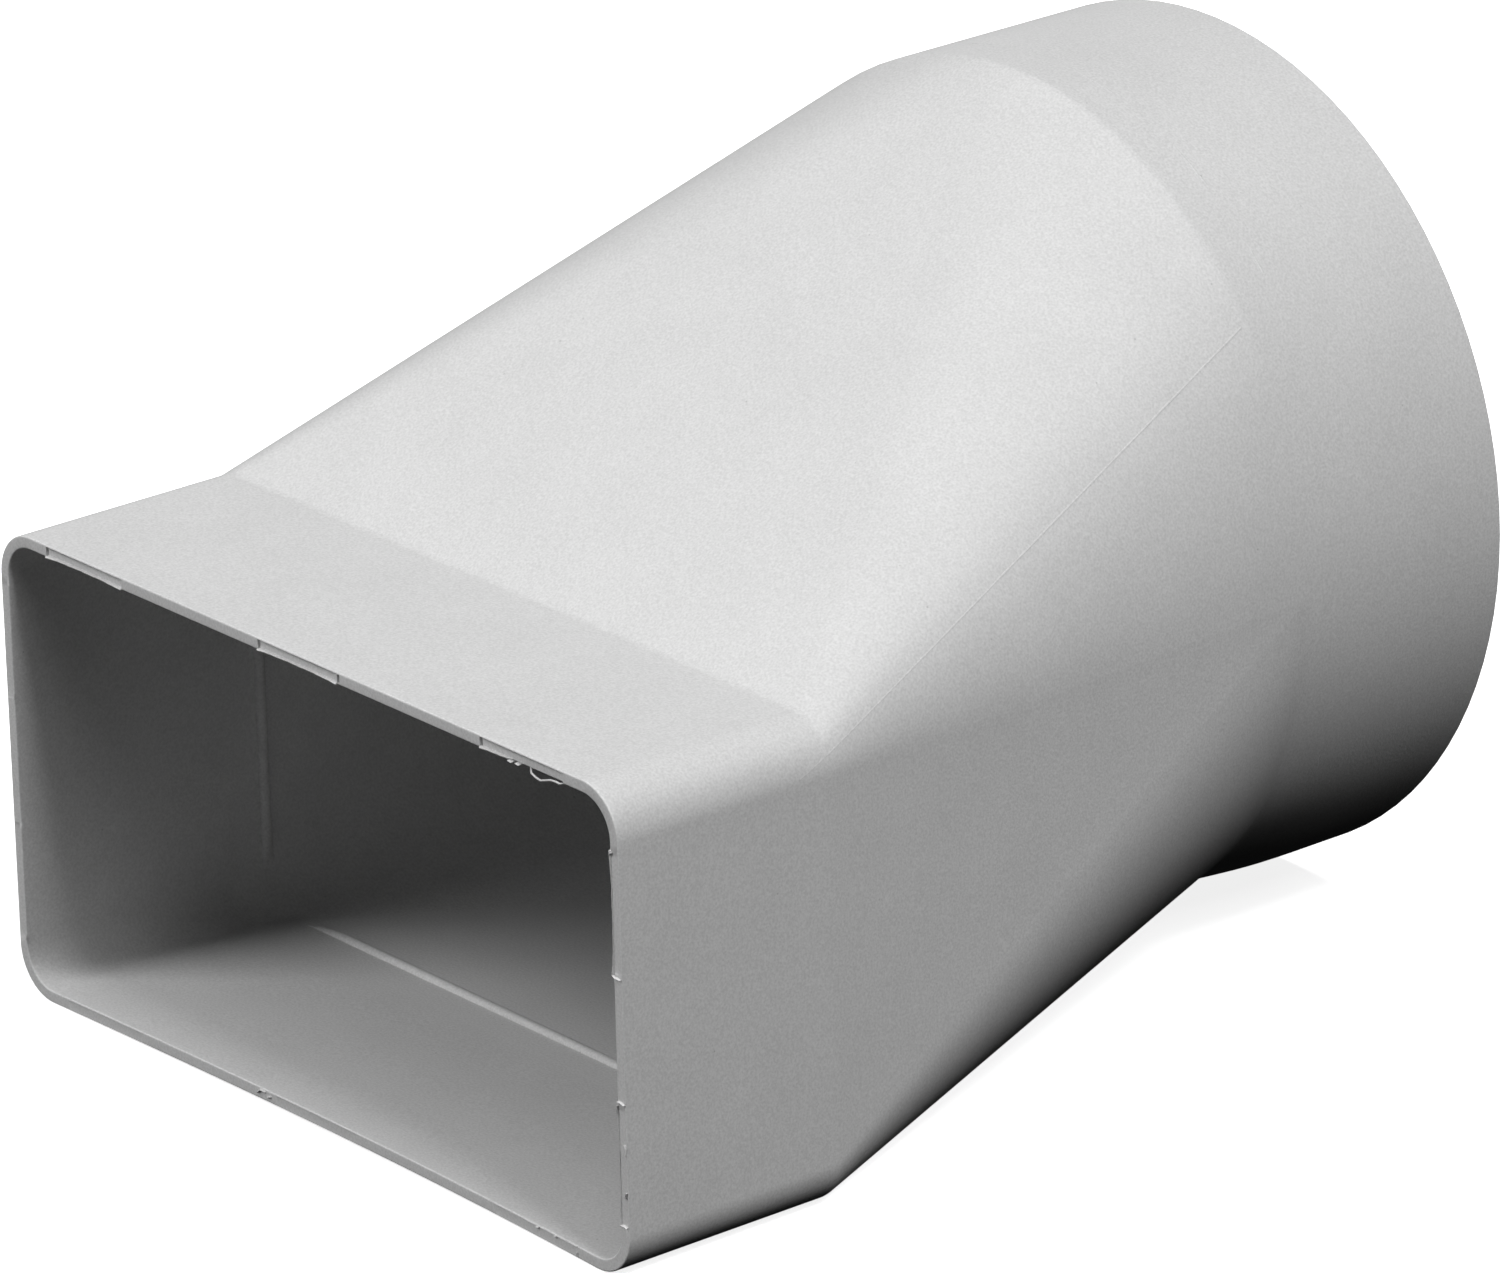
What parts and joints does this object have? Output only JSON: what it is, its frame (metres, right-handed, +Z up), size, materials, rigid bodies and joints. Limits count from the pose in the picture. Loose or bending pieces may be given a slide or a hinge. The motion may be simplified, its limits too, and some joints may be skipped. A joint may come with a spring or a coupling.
{
  "type": "duct transition piece",
  "caption": "Moulded plastic duct adapter that leads a flat rectangular duct socket up a sloping transition into a round pipe socket, with a level bottom from end to end.",
  "frame": {"origin": "middle of the level bottom, half way between the two mouths", "axes": "+Y along the air path, out of the round mouth; +X across the flat duct; +Z up, away from the level bottom"},
  "size_m": [0.113, 0.135, 0.103],
  "materials": {
    "moulded_plastic": "fine satin, as moulded"
  },
  "bodies": {
    "root": {"duct_transition": "moulded_plastic"}
  },
  "joints": []
}
